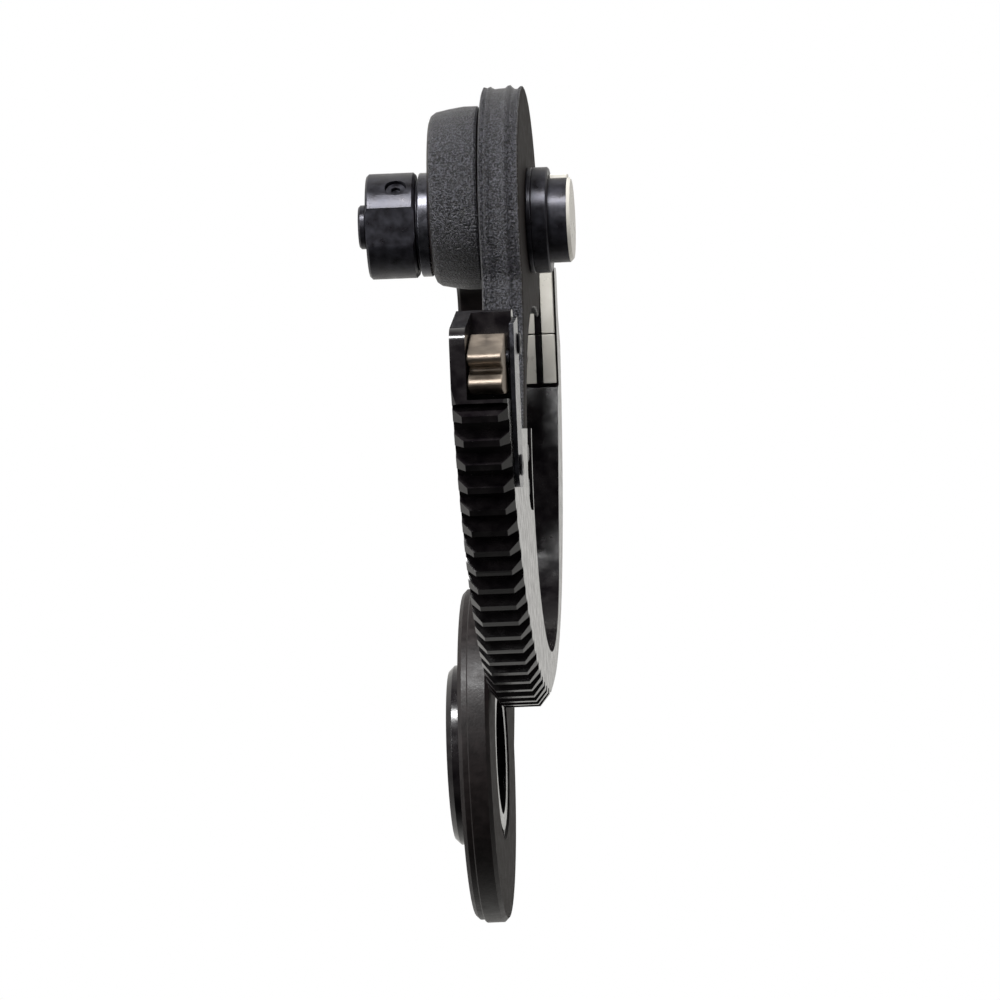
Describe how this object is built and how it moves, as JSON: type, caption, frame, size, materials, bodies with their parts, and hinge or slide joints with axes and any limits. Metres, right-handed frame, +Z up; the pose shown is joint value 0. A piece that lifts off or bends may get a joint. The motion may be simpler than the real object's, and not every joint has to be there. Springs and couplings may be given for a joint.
{
  "type": "oil filter wrench",
  "caption": "Geared hook-jaw oil filter wrench: a toothed jaw swings on a drive shaft beside a C-shaped frame with a turning hub ring.",
  "frame": {"origin": "centre of the drive shaft's end face, on the jaw's pivot axis", "axes": "+X along the drive shaft, out of its plain end; +Z up from the pivot away from the ring; -Y towards the toothed front"},
  "size_m": [0.0535, 0.1954, 0.2096],
  "materials": {
    "frame_gloss": "gloss black coating over machined steel",
    "jaw_gloss": "gloss black coating with bright worn edges",
    "forged_black": "black phosphated drop forging, coarse pebbled skin",
    "machined_black": "black oxide on turned steel",
    "nickel": "satin nickel plate",
    "ground_steel": "bare ground steel",
    "bronze": "sintered bronze",
    "spring_steel": "blued spring steel"
  },
  "bodies": {
    "frame": {"c_frame": "frame_gloss", "boss_bushing": "bronze", "hub_liner": "bronze"},
    "hub": {"hub_rotor": "frame_gloss", "hub_snap_ring": "spring_steel"},
    "jaw": {"sector_jaw": "jaw_gloss", "forged_arm": "forged_black", "grip_pad_upper": "ground_steel", "grip_pad_lower": "ground_steel", "cover_plate": "spring_steel", "tooth_block_pin": "machined_black", "tooth_block_spring": "spring_steel", "arm_rivet_1": "machined_black", "arm_rivet_2": "machined_black", "cover_screw_1": "machined_black", "cover_screw_2": "machined_black", "pad_screw_1": "machined_black", "pad_screw_2": "machined_black", "drive_shaft": "machined_black", "drive_key": "ground_steel", "arm_key": "spring_steel", "side_washer": "machined_black", "thrust_washer": "bronze", "neck_ring": "ground_steel", "collar_spacer": "machined_black", "lock_collar": "machined_black", "set_screw": "machined_black", "end_screw": "machined_black"},
    "block": {"tooth_block": "nickel"}
  },
  "joints": [
    {"name": "jaw_pivot", "type": "hinge", "parent": "frame", "child": "jaw", "pos_m": [0, 0, 0], "axis": [1, 0, 0], "range_deg": [0, 60]},
    {"name": "hub_turn", "type": "hinge", "parent": "frame", "child": "hub", "pos_m": [-0.03, 0.025, -0.133], "axis": [1, 0, 0], "continuous": true},
    {"name": "block_rock", "type": "hinge", "parent": "jaw", "child": "block", "pos_m": [-0.015, -0.094, -0.0345], "axis": [1, 0, 0], "range_deg": [0, 4], "stiffness_Nm_per_rad": 0.4}
  ]
}
